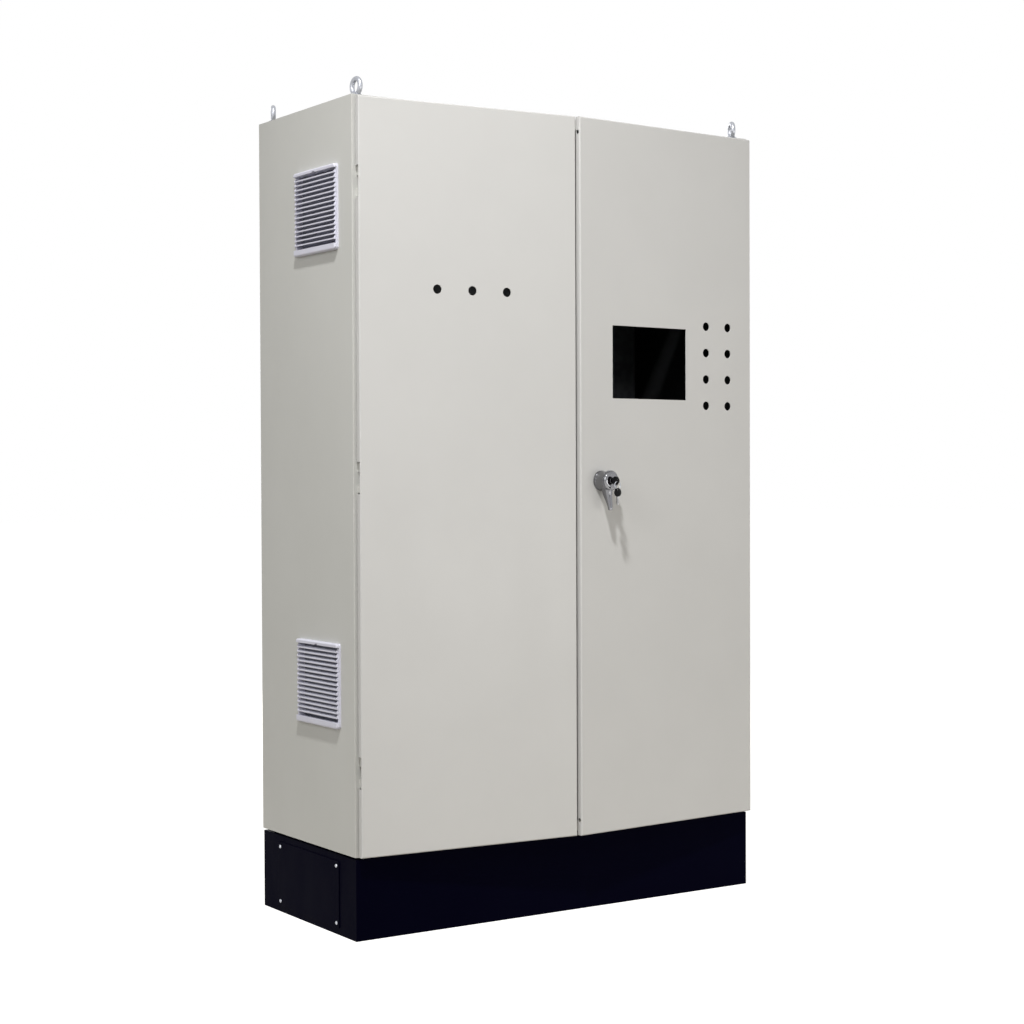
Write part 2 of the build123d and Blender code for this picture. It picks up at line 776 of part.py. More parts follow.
# Door rails: slotted channels that stiffen the doors along both edges
rail_z = (opening_floor + rail_end_clearance, opening_roof - rail_end_clearance)
rail_back_y = door_inner_y + rail_depth
slot_room = rail_z[1] - rail_z[0] - rail_slot_pitch
slot_count = int(slot_room / rail_slot_pitch) + 1
slot_start = (rail_z[0] + rail_z[1]) / 2 - (slot_count - 1) * rail_slot_pitch / 2


def door_rail(start_x):
    """One rail standing on the door's inner face, with a row of slots in its web."""
    line = (
        (start_x + rail_sheet, door_inner_y),
        (start_x + rail_sheet, rail_back_y - rail_sheet),
        (start_x + rail_width - rail_sheet, rail_back_y - rail_sheet),
        (start_x + rail_width - rail_sheet, door_inner_y),
    )
    rail = upright(folded(line, rail_sheet), rail_z)
    middle_x = start_x + rail_width / 2
    for index in range(slot_count):
        slot_z = slot_start + index * rail_slot_pitch
        rail -= Pos(middle_x, rail_back_y, slot_z) * Box(rail_slot_width, 2 * overrun, rail_slot_length)
    return rail


free_rail_x = gasket_x[0] + rail_edge_clearance
hinge_rail_x = gasket_x[1] - rail_edge_clearance - rail_width
rails = [door_rail(free_rail_x), door_rail(hinge_rail_x)]
save("door_rails_right", *[swing_right(rail) for rail in rails])
save("door_rails_left", *[swing_left(mirrored(rail)) for rail in rails])

# Lock: rosette on the door and an L-handle whose spindle runs through it
rosette_section = make_face(
    Polyline(
        (spindle_hole, 0),
        (rosette_radius, 0),
        (rosette_radius, rosette_height / 2),
        (rosette_face_radius, rosette_height),
        (spindle_hole, rosette_height),
        (spindle_hole, 0),
    )
)
lock_plane = Plane((lock_x, door_front_y, lock_z), x_dir=(1, 0, 0), z_dir=(0, -1, 0))
rosette = revolve(Plane.XZ * rosette_section, Axis.Z)
save("lock_rosette", swing_right(lock_plane * rosette))

# Rod drive planes behind the door: the rods pass just behind the body's front flange
rod_front_y = front_y + body_sheet + rod_flange_clearance
rod_back_y = rod_front_y + rod_thickness
bridge_y = rod_back_y + bridge_pinion_clearance
bridge_back_y = bridge_y + bridge_sheet

# Handle: waisted hub with a collar and a domed face, fin-shaped lever and spindle in one casting,
# bored for the lock cylinder
hub_base = rosette_height + hub_clearance
hub_top = hub_base + hub_length
collar_base = hub_base + collar_distance
collar_top = collar_base + collar_width
waist_middle = (hub_waist_radius, hub_base + collar_distance / 2)
shoulder = (
    hub_face_radius + hub_shoulder_share * (hub_head_radius - hub_face_radius),
    collar_top + hub_shoulder_share * (hub_top - collar_top),
)
hub_section = make_face(
    Polyline((0, hub_top), (0, hub_base), (hub_base_radius, hub_base))
    + ThreePointArc((hub_base_radius, hub_base), waist_middle, (hub_head_radius, collar_base))
    + Polyline(
        (hub_head_radius, collar_base),
        (collar_radius, collar_base),
        (collar_radius, collar_top),
        (hub_head_radius, collar_top),
    )
    + ThreePointArc((hub_head_radius, collar_top), shoulder, (hub_face_radius, hub_top))
    + Line((hub_face_radius, hub_top), (0, hub_top))
)
hub = revolve(Plane.XZ * hub_section, Axis.Z)


def lever_section(drop, width, back, front):
    """Rounded cross-section of the lever at a distance below the spindle."""
    plane = Plane((0, -drop, (back + front) / 2), x_dir=(1, 0, 0), z_dir=(0, -1, 0))
    corner = lever_corner_share * min(width, front - back)
    return plane * RectangleRounded(width, front - back, corner)


lever = loft(
    [
        lever_section(lever_root_drop, lever_root_width, lever_root_back, lever_root_front),
        lever_section(lever_neck_drop, lever_neck_width, lever_neck_back, lever_neck_front),
        lever_section(lever_waist_drop, lever_waist_width, lever_waist_back, lever_waist_front),
        lever_section(lever_tip_drop, lever_tip_width, lever_tip_back, lever_tip_front),
    ]
)
lever = fillet(lever.faces().sort_by(Axis.Y)[0].edges(), lever_tip_radius)
spindle_back = bridge_back_y - door_front_y
spindle_length = hub_base + spindle_back
spindle = Pos(0, 0, hub_base - spindle_length / 2) * Cylinder(spindle_radius, spindle_length)
cylinder_bore = cylinder_radius + cylinder_clearance
bore_depth = cylinder_length + cylinder_clearance
handle = hub + lever + spindle
handle -= Pos(0, 0, hub_top - bore_depth / 2 + overrun / 2) * Cylinder(cylinder_bore, bore_depth + overrun)
save("lock_handle", swing_right(lock_plane * handle))

# Lock cylinder with its key slot
cylinder_z = hub_top - cylinder_length / 2 + cylinder_stand
blade_slot_width = key_blade_width + 2 * key_slot_clearance
blade_slot_thickness = key_blade_thickness + 2 * key_slot_clearance
lock_cylinder = Pos(0, 0, cylinder_z) * Cylinder(cylinder_radius, cylinder_length)
slot_bottom = hub_top + key_head_distance - key_head_radius - key_blade_length
slot_floor = slot_bottom - key_slot_clearance
slot_top = hub_top + cylinder_stand + overrun
slot = Box(blade_slot_thickness, blade_slot_width, slot_top - slot_floor)
lock_cylinder -= Pos(0, 0, (slot_top + slot_floor) / 2) * slot
save("lock_cylinder", swing_right(lock_plane * lock_cylinder))

# Keys: a round moulded head on a flat blade, one in the lock and one hanging on the ring
key_head = Cylinder(key_head_radius, key_head_thickness)
key_head = fillet(key_head.edges().filter_by(GeomType.CIRCLE), key_head_thickness / 4)
key_head -= Pos(key_hole_offset, 0, 0) * Cylinder(key_hole_radius, key_head_thickness + overrun)
blade_tip = key_head_radius + key_blade_length
blade_start = key_head_radius / 2
blade_middle = (blade_tip + blade_start) / 2
blade = Pos(-blade_middle, 0, 0) * Box(blade_tip - blade_start, key_blade_width, key_blade_thickness)
key = key_head + blade
head_place = hub_top + key_head_distance
key_in_lock = Pos(0, 0, head_place) * Rot(0, -90, 0) * key
save("key", swing_right(lock_plane * key_in_lock))
ring_top = -key_ring_seat
ring_out = head_place + key_hole_offset
key_ring = Pos(0, ring_top - key_ring_radius, ring_out) * Torus(key_ring_radius, key_ring_bar_radius)
save("key_ring", swing_right(lock_plane * key_ring))
spare_hole = ring_top - 2 * key_ring_radius - key_ring_seat
spare_plane = Plane((0, spare_hole - key_hole_offset, ring_out), x_dir=(0, 1, 0), z_dir=(1, 0, 0))
save("spare_key", swing_right(lock_plane * spare_plane * key))

# Rod drive: a pinion on the spindle between two toothed rods
pitch_radius = tooth_module * pinion_teeth / 2
tooth_pitch = pi * tooth_module
base_radius = pitch_radius * cos(radians(pressure_degrees))
tip_radius = pitch_radius + pinion_addendum
root_radius = pitch_radius - rack_addendum - tooth_clearance
rod_travel = pitch_radius * radians(handle_turn_degrees)


def involute(radius):
    """Involute angle of a flank point at this radius."""
    angle = acos(min(1, base_radius / radius))
    return tan(angle) - angle


def polar(radius, angle):
    return (radius * cos(angle), radius * sin(angle))


half_tooth = (tooth_pitch / 2 - tooth_backlash) / (2 * pitch_radius) + involute(pitch_radius)
flank_start = max(base_radius, root_radius)
flank_step = (tip_radius - flank_start) / (flank_points - 1)
flank = [flank_start + index * flank_step for index in range(flank_points)]
pinion_outline = []
for tooth in range(pinion_teeth):
    middle = 2 * pi * tooth / pinion_teeth
    foot = half_tooth - involute(flank_start)
    pinion_outline.append(polar(root_radius, middle - foot))
    pinion_outline += [polar(radius, middle - half_tooth + involute(radius)) for radius in flank]
    pinion_outline += [polar(radius, middle + half_tooth - involute(radius)) for radius in reversed(flank)]
    pinion_outline.append(polar(root_radius, middle + foot))
pinion_outline.append(pinion_outline[0])
pinion_face = make_face(Polyline(*pinion_outline)) - Circle(spindle_radius)
rod_plane = Plane((lock_x, rod_back_y, lock_z), x_dir=(1, 0, 0), z_dir=(0, -1, 0))
save("lock_pinion", swing_right(rod_plane * extrude(pinion_face, rod_thickness)))

# Rods, drawn from the spindle: teeth towards the pinion, a tapered tip at the far end
rack_root = pitch_radius + pinion_addendum + tooth_clearance
rack_tip = pitch_radius - rack_addendum
flank_lean = tan(radians(pressure_degrees))
half_space = (tooth_pitch / 2 - tooth_backlash) / 2
rack_half_tip = half_space - rack_addendum * flank_lean
rack_half_root = half_space + (rack_root - pitch_radius) * flank_lean
rack_first = -round(rod_travel / tooth_pitch) - 2
rack_last = 1
rack_bottom = (rack_first - 1 / 2) * tooth_pitch
rod_outer = rack_root + rod_width


def rod_outline(tip_z):
    """Toothed rod to the right of the spindle, running up to its tip."""
    points = [(rod_outer, rack_bottom), (rack_root, rack_bottom)]
    for index in range(rack_first, rack_last + 1):
        middle = (index + 1 / 2) * tooth_pitch
        points += [(rack_root, middle - rack_half_root), (rack_tip, middle - rack_half_tip)]
        points += [(rack_tip, middle + rack_half_tip), (rack_root, middle + rack_half_root)]
    points += [(rack_root, tip_z - rod_tip_length), (rod_outer - rod_tip_width, tip_z)]
    points += [(rod_outer, tip_z), (rod_outer, rack_bottom)]
    return make_face(Polyline(*points))


upper_tip = opening_roof - rod_end_clearance - lock_z
lower_tip = lock_z - opening_floor - rod_end_clearance
upper_rod = rod_plane * extrude(rod_outline(upper_tip), rod_thickness)
lower_rod = rod_plane * Rot(0, 0, 180) * extrude(rod_outline(lower_tip), rod_thickness)
save("rod_upper", swing_right(upper_rod))
save("rod_lower", swing_right(lower_rod))

# Bridge over the pinion, which carries the end of the spindle
bridge_half = rod_outer + bridge_side_clearance
bridge_line = (
    (lock_x - bridge_half, door_inner_y),
    (lock_x - bridge_half, bridge_y),
    (lock_x + bridge_half, bridge_y),
    (lock_x + bridge_half, door_inner_y),
)
bridge = upright(folded(bridge_line, bridge_sheet), (lock_z - bridge_height / 2, lock_z + bridge_height / 2))
bridge -= rod_y(spindle_radius + spindle_clearance, lock_x, lock_z, (bridge_y - overrun, bridge_back_y + overrun))
save("lock_bridge", swing_right(bridge))


def rod_guide(x, z):
    """Moulded guide on the door's inner face, with a window that the bar slides in."""
    half = rod_width / 2 + guide_clearance
    shell_x = (x - half - guide_wall, x + half + guide_wall)
    guide_z = (z - guide_length / 2, z + guide_length / 2)
    body = block(shell_x, (door_inner_y, rod_back_y + guide_clearance + guide_wall), guide_z)
    body = fillet(body.edges().filter_by(Axis.Z).sort_by(Axis.Y)[-2:], guide_wall / 2)
    path = (rod_front_y - guide_clearance, rod_back_y + guide_clearance)
    return body - block((x - half, x + half), path, (guide_z[0] - overrun, guide_z[1] + overrun))


rod_offset = rack_root + rod_width / 2
guides = [
    rod_guide(lock_x + rod_offset, lock_z + guide_near_distance),
    rod_guide(lock_x + rod_offset, lock_z + upper_tip - guide_end_distance),
    rod_guide(lock_x - rod_offset, lock_z - guide_near_distance),
    rod_guide(lock_x - rod_offset, lock_z - lower_tip + guide_end_distance),
]
save("rod_guides", *[swing_right(guide) for guide in guides])

# Left door's bolts: two short bars with a knob, shot by hand into the roof and the floor flange
bolt_x = -door_free_x - bolt_inset
knob_y = (rod_back_y, rod_back_y + bolt_knob_length)
bolt_guides = []
for name, tip_z, inward in (
    ("upper", opening_roof - rod_end_clearance, -1),
    ("lower", opening_floor + rod_end_clearance, 1),
):
    tail_z = tip_z + inward * bolt_length
    bar = block(
        (bolt_x - rod_width / 2, bolt_x + rod_width / 2),
        (rod_front_y, rod_back_y),
        sorted((tip_z, tail_z)),
    )
    knob_z = tip_z + inward * bolt_length * bolt_knob_share
    bar += rod_y(bolt_knob_radius, bolt_x, knob_z, knob_y)
    save(f"door_bolt_{name}", swing_left(bar))
    near_z = tip_z + inward * (bolt_travel + bolt_guide_offset)
    far_z = tail_z - inward * bolt_guide_offset
    bolt_guides += [rod_guide(bolt_x, near_z), rod_guide(bolt_x, far_z)]
save("bolt_guides", *[swing_left(guide) for guide in bolt_guides])
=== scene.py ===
from math import cos, pi, radians, sin, tau

import bmesh
import bpy
from mathutils import Matrix, Vector


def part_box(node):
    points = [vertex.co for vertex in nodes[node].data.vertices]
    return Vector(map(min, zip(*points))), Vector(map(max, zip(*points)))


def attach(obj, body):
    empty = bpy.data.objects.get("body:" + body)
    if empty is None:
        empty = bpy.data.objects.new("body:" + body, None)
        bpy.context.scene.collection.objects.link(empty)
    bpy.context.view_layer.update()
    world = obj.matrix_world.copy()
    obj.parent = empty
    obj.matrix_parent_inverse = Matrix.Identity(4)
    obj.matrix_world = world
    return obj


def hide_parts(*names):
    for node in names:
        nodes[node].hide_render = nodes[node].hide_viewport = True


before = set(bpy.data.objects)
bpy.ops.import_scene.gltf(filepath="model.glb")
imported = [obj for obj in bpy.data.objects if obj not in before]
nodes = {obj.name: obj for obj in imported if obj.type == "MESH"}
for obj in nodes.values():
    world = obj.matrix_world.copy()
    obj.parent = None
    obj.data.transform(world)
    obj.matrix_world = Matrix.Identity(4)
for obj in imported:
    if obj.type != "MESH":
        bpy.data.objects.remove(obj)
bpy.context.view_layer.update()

# Control cabinet: finishes for the solids, small fasteners, keys, gaskets and filter mats,
# then the studio and the camera. Metres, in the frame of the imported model.

scene = bpy.context.scene

# Sizes that the small pieces share with the solids
mm = 0.001
body_half_width = 0.600
body_low_z = 0.200
body_high_z = 2.000
rear_face_y = 0.247
left_hinge = Vector((-0.588, -0.2625, 0))
right_hinge = Vector((0.588, -0.2625, 0))
left_ajar = radians(-4.2)
right_ajar = radians(4.8)
door_front_y = -0.269
door_inner_y = -0.267
lock_x = 0.0685
lock_z = 1.0885

# Distance within which two places count as one
touching = 1e-6
# Least part of a unit normal along an axis for a face square to it, and most for one edge on
square_on = 0.9
edge_on = 0.1


# Shader helpers


def set_inputs(made, values):
    """Give a node's sockets their constants."""
    for name, value in values.items():
        made.inputs[name].default_value = value
    return made


def feed(tree, socket, value):
    """Give a socket a number, a colour of three numbers or the value of another socket."""
    if isinstance(value, bpy.types.NodeSocket):
        tree.links.new(value, socket)
    elif isinstance(value, tuple):
        socket.default_value = (*value, 1)
    else:
        socket.default_value = value


def object_coordinates(tree):
    return tree.nodes.new("ShaderNodeTexCoord").outputs["Object"]


def noise(tree, coordinates, scale, detail, roughness=0.5):
    made = tree.nodes.new("ShaderNodeTexNoise")
    set_inputs(made, {"Detail": detail, "Roughness": roughness})
    feed(tree, made.inputs["Scale"], scale)
    tree.links.new(coordinates, made.inputs["Vector"])
    return made.outputs[0]


def cells(tree, coordinates, scale):
    """Outputs of a pattern of irregular cells."""
    made = tree.nodes.new("ShaderNodeTexVoronoi")
    feed(tree, made.inputs["Scale"], scale)
    tree.links.new(coordinates, made.inputs["Vector"])
    return made.outputs


def stretched(tree, coordinates, scale):
    """Coordinates drawn out along one axis, for scratches and smears."""
    made = set_inputs(tree.nodes.new("ShaderNodeMapping"), {"Scale": scale})
    tree.links.new(coordinates, made.inputs["Vector"])
    return made.outputs["Vector"]


def ranged(tree, value, span, target=(0.0, 1.0)):
    """Value spread from one span to another."""
    made = tree.nodes.new("ShaderNodeMapRange")
    set_inputs(made, dict(zip(("From Min", "From Max", "To Min", "To Max"), (*span, *target))))
    tree.links.new(value, made.inputs["Value"])
    return made.outputs["Result"]


def computed(tree, operation, first, second=0.0):
    """Result of a math node; each operand is a number or a socket."""
    made = tree.nodes.new("ShaderNodeMath")
    made.operation = operation
    feed(tree, made.inputs[0], first)
    feed(tree, made.inputs[1], second)
    return made.outputs["Value"]


def weighted(tree, first, first_share, second, second_share):
    """Sum of two values, each times its share."""
    return computed(
        tree, "ADD",
        computed(tree, "MULTIPLY", first, first_share),
        computed(tree, "MULTIPLY", second, second_share),
    )


def blended(tree, share, first, second):
    """Colour between two colours; each is a socket or three numbers."""
    made = tree.nodes.new("ShaderNodeMix")
    made.data_type = "RGBA"
    tree.links.new(share, made.inputs[0])
    feed(tree, made.inputs[6], first)
    feed(tree, made.inputs[7], second)
    return made.outputs[2]


def embossed(tree, height, distance, strength, normal=None):
    made = set_inputs(tree.nodes.new("ShaderNodeBump"), {"Strength": strength, "Distance": distance})
    tree.links.new(height, made.inputs["Height"])
    if normal is not None:
        tree.links.new(normal, made.inputs["Normal"])
    return made.outputs["Normal"]


def new_group(name, inputs, outputs):
    """Shader group with number inputs and outputs that are numbers or vectors."""
    tree = bpy.data.node_groups.new(name, "ShaderNodeTree")
    for label, value in inputs.items():
        socket = tree.interface.new_socket(name=label, in_out="INPUT", socket_type="NodeSocketFloat")
        socket.default_value = value
    for label, kind in outputs.items():
        tree.interface.new_socket(name=label, in_out="OUTPUT", socket_type=kind)
    entry = tree.nodes.new("NodeGroupInput")
    exit_node = tree.nodes.new("NodeGroupOutput")
    return tree, entry.outputs, exit_node.inputs


def placed(tree, group, values):
    made = tree.nodes.new("ShaderNodeGroup")
    made.node_tree = group
    return set_inputs(made, values).outputs


def new_material(name):
    material = bpy.data.materials.new(name)
    material.use_nodes = True
    tree = material.node_tree
    return material, tree, tree.nodes["Principled BSDF"]


number = "NodeSocketFloat"
vector = "NodeSocketVector"
grain_outputs = {"Tone": number, "Gloss": number, "Height": number}
noise_span = (0.3, 0.7)

# Orange peel and slow cloudiness of a sprayed coat
smear_stretch = (9.0, 9.0, 3.0)
smear_span = (0.32, 0.68)
speck_share = 0.25
coat_grain, given, result = new_group(
    "coat_grain", {"Peel Scale": 420.0, "Speck Scale": 2900.0, "Cloud Scale": 2.2}, grain_outputs
)
coordinates = object_coordinates(coat_grain)
peel = noise(coat_grain, coordinates, given["Peel Scale"], detail=2.5, roughness=0.55)
speck = noise(coat_grain, coordinates, given["Speck Scale"], detail=1.0)
cloud = noise(coat_grain, coordinates, given["Cloud Scale"], detail=4.0, roughness=0.6)
smear_coordinates = stretched(coat_grain, coordinates, smear_stretch)
smear = noise(coat_grain, smear_coordinates, scale=1.0, detail=5.0, roughness=0.62)
coat_grain.links.new(ranged(coat_grain, cloud, noise_span), result["Tone"])
coat_grain.links.new(ranged(coat_grain, smear, smear_span), result["Gloss"])
coat_grain.links.new(weighted(coat_grain, peel, 1.0, speck, speck_share), result["Height"])

# Thin rounding where a sheet is cut or folded, and a mask of it
edge_span = (0.995, 0.75)
soft_edge, given, result = new_group(
    "soft_edge", {"Radius": 1.0 * mm}, {"Edge": number, "Normal": vector}
)
rounding = soft_edge.nodes.new("ShaderNodeBevel")
rounding.samples = 4
soft_edge.links.new(given["Radius"], rounding.inputs["Radius"])
facing = soft_edge.nodes.new("ShaderNodeNewGeometry")
agreement = soft_edge.nodes.new("ShaderNodeVectorMath")
agreement.operation = "DOT_PRODUCT"
soft_edge.links.new(rounding.outputs["Normal"], agreement.inputs[0])
soft_edge.links.new(facing.outputs["Normal"], agreement.inputs[1])
soft_edge.links.new(ranged(soft_edge, agreement.outputs["Value"], edge_span), result["Edge"])
soft_edge.links.new(rounding.outputs["Normal"], result["Normal"])

# Patchy crystals and fine scratches of bare and plated metal
scratch_stretch = (1.0, 1.0, 0.06)
patch_share, haze_share = 0.45, 0.55
mottle_share, scratch_share = 0.6, 0.4
metal_grain, given, result = new_group(
    "metal_grain", {"Patch Scale": 60.0, "Haze Scale": 35.0, "Scratch Scale": 900.0}, grain_outputs
)
coordinates = object_coordinates(metal_grain)
patch_tone = metal_grain.nodes.new("ShaderNodeSeparateColor")
patches = cells(metal_grain, coordinates, given["Patch Scale"])
metal_grain.links.new(patches["Color"], patch_tone.inputs["Color"])
haze = noise(metal_grain, coordinates, given["Haze Scale"], detail=4.0, roughness=0.6)
scratch_coordinates = stretched(metal_grain, coordinates, scratch_stretch)
scratch = noise(metal_grain, scratch_coordinates, given["Scratch Scale"], detail=2.0)
mottle = weighted(metal_grain, patch_tone.outputs["Red"], patch_share, haze, haze_share)
metal_grain.links.new(mottle, result["Tone"])
metal_grain.links.new(weighted(metal_grain, mottle, mottle_share, scratch, scratch_share), result["Gloss"])
metal_grain.links.new(scratch, result["Height"])

# Spark-eroded skin of moulded plastic
mould_grain, given, result = new_group(
    "mould_grain", {"Grain Scale": 1500.0, "Flow Scale": 11.0}, grain_outputs
)
coordinates = object_coordinates(mould_grain)
pits = noise(mould_grain, coordinates, given["Grain Scale"], detail=3.0, roughness=0.65)
flow = noise(mould_grain, coordinates, given["Flow Scale"], detail=3.0)
mould_grain.links.new(ranged(mould_grain, flow, noise_span), result["Tone"])
mould_grain.links.new(pits, result["Gloss"])
mould_grain.links.new(pits, result["Height"])

# Faces within the cabinet's shell, which get a dark colour: painted shade for the unlit inside
shell_skin = 1 * mm
rear_skin = 0.7 * mm
shell_inside, given, result = new_group(
    "shell_inside",
    {
        "Half Width": body_half_width - shell_skin,
        "Half Depth": rear_face_y - rear_skin,
        "Low": body_low_z + shell_skin,
        "High": body_high_z - shell_skin,
    },
    {"Inside": number},
)
apart = shell_inside.nodes.new("ShaderNodeSeparateXYZ")
shell_inside.links.new(object_coordinates(shell_inside), apart.inputs["Vector"])
from_middle_x = computed(shell_inside, "ABSOLUTE", apart.outputs["X"])
from_middle_y = computed(shell_inside, "ABSOLUTE", apart.outputs["Y"])
inside = computed(shell_inside, "LESS_THAN", from_middle_x, given["Half Width"])
for limit in (
    computed(shell_inside, "LESS_THAN", from_middle_y, given["Half Depth"]),
    computed(shell_inside, "GREATER_THAN", apart.outputs["Z"], given["Low"]),
    computed(shell_inside, "LESS_THAN", apart.outputs["Z"], given["High"]),
):
    inside = computed(shell_inside, "MULTIPLY", inside, limit)
shell_inside.links.new(inside, result["Inside"])


# Finishes


def grained(name, group, scales, rounded, gloss_span, gloss, depth, strength):
    """Material with a grain's gloss and relief over softened edges."""
    material, tree, shader = new_material(name)
    grain = placed(tree, group, scales)
    rim = placed(tree, soft_edge, {"Radius": rounded})
    tree.links.new(ranged(tree, grain["Gloss"], gloss_span, gloss), shader.inputs["Roughness"])
    relief = embossed(tree, grain["Height"], depth, strength, rim["Normal"])
    tree.links.new(relief, shader.inputs["Normal"])
    return material, tree, shader, grain, rim


# Share of the lighter edge colour: partly thin, worn coat on the edges and partly a painted highlight
worn_and_lit_edge_share = 0.5


def coat(name, dark, light, edge, gloss, shine, peel_scale=420.0, depth=0.04 * mm, inside_shade=None):
    """Sprayed and baked coat on folded sheet steel; the shell's inside can be darkened with painted shade.
    """
    material, tree, shader, grain, rim = grained(
        name, coat_grain, {"Peel Scale": peel_scale}, rounded=1.1 * mm,
        gloss_span=(0.0, 1.0), gloss=gloss, depth=depth, strength=0.6,
    )
    tone = blended(tree, grain["Tone"], dark, light)
    # Sheet edges turn lighter: partly worn coat, partly a painted highlight
    tone = blended(tree, computed(tree, "MULTIPLY", rim["Edge"], worn_and_lit_edge_share), tone, edge)
    # The shell's inside faces take a dark colour: painted shade standing in for the unlit inside
    if inside_shade:
        tone = blended(tree, placed(tree, shell_inside, {})["Inside"], tone, inside_shade)
    tree.links.new(tone, shader.inputs["Base Color"])
    shader.inputs["Specular IOR Level"].default_value = shine
    return material


def metal(name, dark, light, gloss, patch_scale, scratch_scale=900.0, depth=0.01 * mm):
    """Bare or plated metal."""
    material, tree, shader, grain, _ = grained(
        name, metal_grain, {"Patch Scale": patch_scale, "Scratch Scale": scratch_scale},
        rounded=0.6 * mm, gloss_span=(0.2, 0.8), gloss=gloss, depth=depth, strength=0.5,
    )
    tree.links.new(blended(tree, grain["Tone"], dark, light), shader.inputs["Base Color"])
    shader.inputs["Metallic"].default_value = 1.0
    return material


def moulding(name, dark, light, gloss, shine=0.5, grain_scale=1500.0):
    """Moulded plastic with a fine spark-eroded skin."""
    material, tree, shader, grain, _ = grained(
        name, mould_grain, {"Grain Scale": grain_scale}, rounded=0.8 * mm,
        gloss_span=noise_span, gloss=gloss, depth=0.03 * mm, strength=0.5,
    )
    tree.links.new(blended(tree, grain["Tone"], dark, light), shader.inputs["Base Color"])
    shader.inputs["Specular IOR Level"].default_value = shine
    return material


fleece_share = 0.4


def foam(name, dark, light, cell_scale, depth):
    """Open-celled foam or fibre, matt and slightly uneven."""
    material, tree, shader = new_material(name)
    coordinates = object_coordinates(tree)
    pores = cells(tree, coordinates, cell_scale)
    fleece = noise(tree, coordinates, cell_scale * fleece_share, detail=5.0, roughness=0.7)
    tree.links.new(blended(tree, fleece, dark, light), shader.inputs["Base Color"])
    height = computed(tree, "ADD", pores["Distance"], fleece)
    tree.links.new(embossed(tree, height, depth, strength=0.8), shader.inputs["Normal"])
    tree.links.new(ranged(tree, fleece, noise_span, (0.85, 0.98)), shader.inputs["Roughness"])
    return material


# body_coat's dark inside colour is painted shade for the unlit inside of the shell
body_coat = coat(
    "body_coat", dark=(0.574, 0.573, 0.544), light=(0.602, 0.601, 0.572), edge=(0.68, 0.675, 0.65),
    gloss=(0.38, 0.50), shine=0.16, inside_shade=(0.035, 0.036, 0.038),
)
door_coat = coat(
    "door_coat", dark=(0.592, 0.587, 0.574), light=(0.619, 0.614, 0.601), edge=(0.69, 0.685, 0.66),
    gloss=(0.34, 0.46), shine=0.30,
)
plinth_coat = coat(
    "plinth_coat", dark=(0.0008, 0.0007, 0.0056), light=(0.0014, 0.0013, 0.0068),
    edge=(0.003, 0.003, 0.009), gloss=(0.46, 0.60), shine=0.008, peel_scale=520.0, depth=0.06 * mm,
)
zinc = metal(
    "zinc_plating", dark=(0.37, 0.38, 0.415), light=(0.52, 0.535, 0.575), gloss=(0.30, 0.46),
    patch_scale=240.0,
)
# Galvanised sheet inside the cabinet, darkened far below bare zinc: painted shade for the unlit inside
shaded_galvanised = metal(
    "galvanised_sheet_shaded", dark=(0.10, 0.104, 0.112), light=(0.20, 0.205, 0.215), gloss=(0.50, 0.70),
    patch_scale=70.0,
)
# Chrome darkened to about a third of real chrome, so it seems to reflect dark surroundings: a painted dark
# reflection
chrome = metal(
    "lock_chrome", dark=(0.20, 0.20, 0.21), light=(0.28, 0.28, 0.295), gloss=(0.06, 0.14),
    patch_scale=18.0, scratch_scale=1600.0, depth=0.004 * mm,
)
# Darker copy of the lock chrome for the rosette: painted dark reflection on its rim
rosette_chrome_darker = metal(
    "rosette_chrome_darker", dark=(0.16, 0.16, 0.17), light=(0.23, 0.23, 0.245), gloss=(0.07, 0.16),
    patch_scale=30.0, scratch_scale=1600.0, depth=0.004 * mm,
)
key_steel = metal(
    "key_blade_nickel", dark=(0.40, 0.40, 0.41), light=(0.53, 0.53, 0.54), gloss=(0.18, 0.34),
    patch_scale=90.0, scratch_scale=1800.0,
)
grille_plastic = moulding(
    "grille_plastic", dark=(0.655, 0.655, 0.745), light=(0.70, 0.70, 0.79), gloss=(0.36, 0.52), shine=0.2
)
guide_plastic = moulding(
    "guide_plastic", dark=(0.012, 0.012, 0.013), light=(0.022, 0.022, 0.024), gloss=(0.38, 0.55)
)
key_black = moulding(
    "key_black", dark=(0.0045, 0.0045, 0.0055), light=(0.0075, 0.0075, 0.009), gloss=(0.20, 0.36),
    shine=0.15, grain_scale=2400.0,
)
gasket_foam = foam(
    "gasket_foam", dark=(0.030, 0.030, 0.032), light=(0.058, 0.058, 0.060),
    cell_scale=1400.0, depth=0.2 * mm,
)
# Filter fibre in dark grey-blue instead of its pale own colour: painted shade seen deep in the louvre
# slots
filter_fibre_shaded = foam(
    "filter_fibre_shaded", dark=(0.15, 0.153, 0.195), light=(0.28, 0.284, 0.345),
    cell_scale=700.0, depth=0.6 * mm,
)

